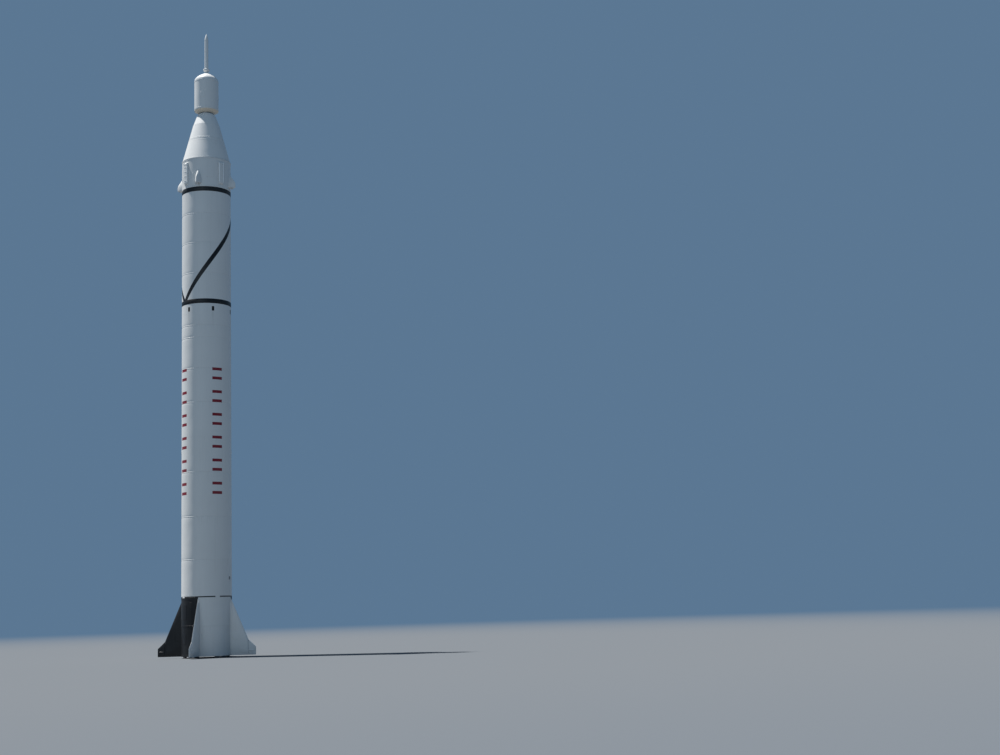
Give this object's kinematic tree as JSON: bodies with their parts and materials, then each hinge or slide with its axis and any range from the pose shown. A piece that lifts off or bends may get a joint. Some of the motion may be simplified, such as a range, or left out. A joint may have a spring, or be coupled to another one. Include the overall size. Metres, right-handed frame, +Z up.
{
  "type": "four-stage satellite launch rocket",
  "caption": "Tall liquid-fuel rocket with fins, tip rudders and jet vanes, a cone, and a spinning tub of upper stages with a slim satellite on top.",
  "frame": {"origin": "middle of the plane under the four support pads, on the rocket's axis", "axes": "+Z up along the rocket towards its nose; the fins point along +X, +Y, -X and -Y"},
  "size_m": [3.64, 3.64, 23.4],
  "materials": {
    "white_paint": "satin",
    "striped_paint": "satin white with black slanting stripes",
    "tail_paint": "satin white and black quarters",
    "black_band": "satin",
    "steel": "heat-tinted",
    "graphite": "matt graphite"
  },
  "bodies": {
    "rocket": {"tail_barrel": "tail_paint", "aft_ring": "steel", "heat_shield": "steel", "nozzle": "steel", "engine_block": "steel", "fin_1": "tail_paint", "fin_2": "tail_paint", "fin_3": "tail_paint", "fin_4": "tail_paint", "lower_tank": "white_paint", "middle_tank": "white_paint", "lower_band_ring": "black_band", "upper_tank": "striped_paint", "upper_band_ring": "black_band", "instrument_bay": "white_paint", "lower_cone": "white_paint", "upper_cone": "white_paint", "jet_hood_1": "white_paint", "jet_hood_2": "white_paint", "jet_hood_3": "white_paint", "jet_hood_4": "white_paint", "duct_1": "white_paint", "duct_2": "white_paint", "duct_3": "white_paint", "duct_4": "white_paint", "bearing_ring": "steel", "turbine_exhaust": "steel"},
    "spin_tub": {"tub": "white_paint", "tub_cap": "white_paint", "stage_support": "white_paint", "last_stage": "white_paint", "satellite_body": "white_paint", "satellite_nose": "white_paint"},
    "rudder_set_1": {"rudder_1": "tail_paint", "jet_vane_1": "graphite"},
    "rudder_set_2": {"rudder_2": "tail_paint", "jet_vane_2": "graphite"},
    "rudder_set_3": {"rudder_3": "tail_paint", "jet_vane_3": "graphite"},
    "rudder_set_4": {"rudder_4": "tail_paint", "jet_vane_4": "graphite"}
  },
  "joints": [
    {"name": "tub_spin", "type": "hinge", "parent": "rocket", "child": "spin_tub", "pos_m": [0, 0, 20.21], "axis": [0, 0, 1], "continuous": true},
    {"name": "rudder_1_turn", "type": "hinge", "parent": "rocket", "child": "rudder_set_1", "pos_m": [1.56, 0, 0.215], "axis": [1, 0, 0], "range_deg": [-25, 25]},
    {"name": "rudder_2_turn", "type": "hinge", "parent": "rocket", "child": "rudder_set_2", "pos_m": [0, 1.56, 0.215], "axis": [0, 1, 0], "range_deg": [-25, 25]},
    {"name": "rudder_3_turn", "type": "hinge", "parent": "rocket", "child": "rudder_set_3", "pos_m": [-1.56, 0, 0.215], "axis": [-1, 0, 0], "range_deg": [-25, 25]},
    {"name": "rudder_4_turn", "type": "hinge", "parent": "rocket", "child": "rudder_set_4", "pos_m": [0, -1.56, 0.215], "axis": [0, -1, 0], "range_deg": [-25, 25]}
  ]
}
